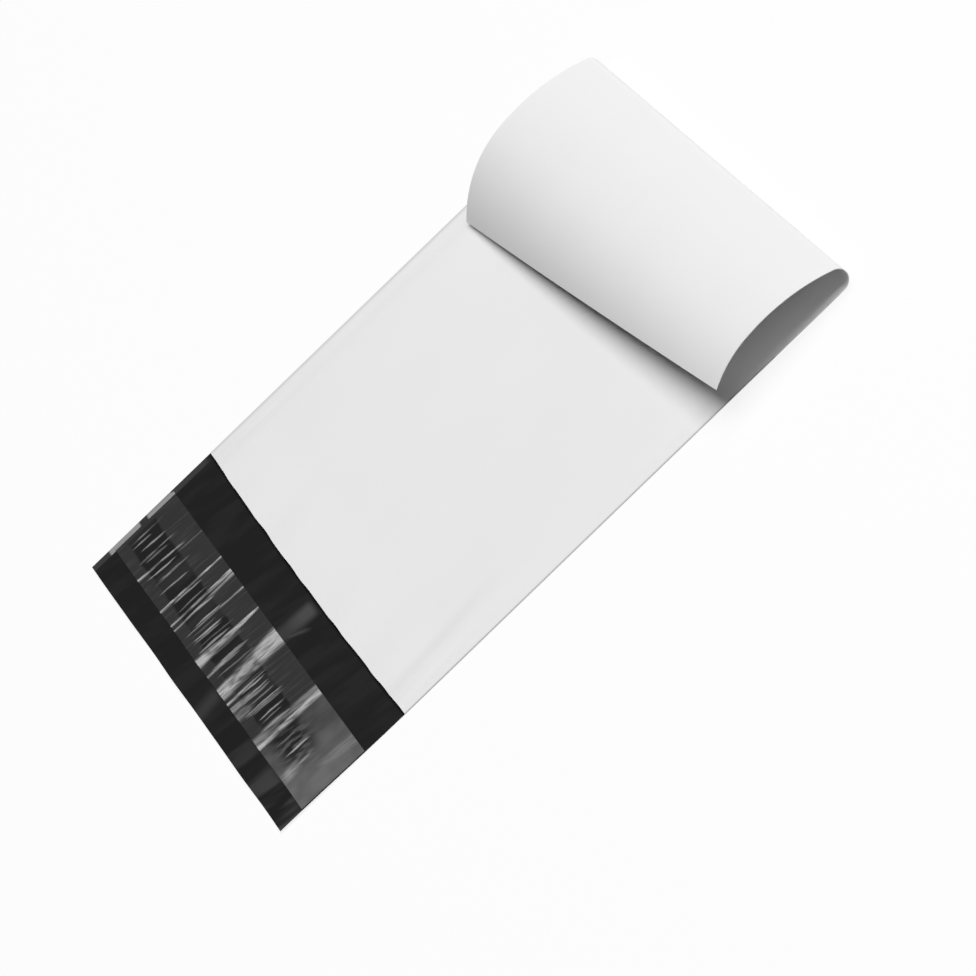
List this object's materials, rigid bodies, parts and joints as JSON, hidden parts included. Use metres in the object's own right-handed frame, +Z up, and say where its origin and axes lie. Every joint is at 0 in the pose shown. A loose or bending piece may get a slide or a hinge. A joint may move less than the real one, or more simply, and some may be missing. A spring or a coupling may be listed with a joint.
{
  "type": "poly mailer bag",
  "caption": "Flat plastic mailing bag with welded sides, an open mouth and a peel-and-seal closing flap, lying on its back with its closed end curled over.",
  "frame": {"origin": "middle of the bag's outline, on the surface that it lies on", "axes": "+Z up; +Y along the bag from the flap towards the curled closed end; +X across the bag"},
  "size_m": [0.1986, 0.2322, 0.0151],
  "materials": {
    "film": "satin white polyethylene film outside, charcoal black inside and on the flap's inner face",
    "adhesive": "thin clear hot-melt adhesive on the charcoal film, rippled",
    "liner": "glossy grey-clear release film with fine cross wrinkles"
  },
  "bodies": {
    "root": {"bag_film": "film", "adhesive_strip": "adhesive", "release_liner": "liner"}
  },
  "joints": []
}
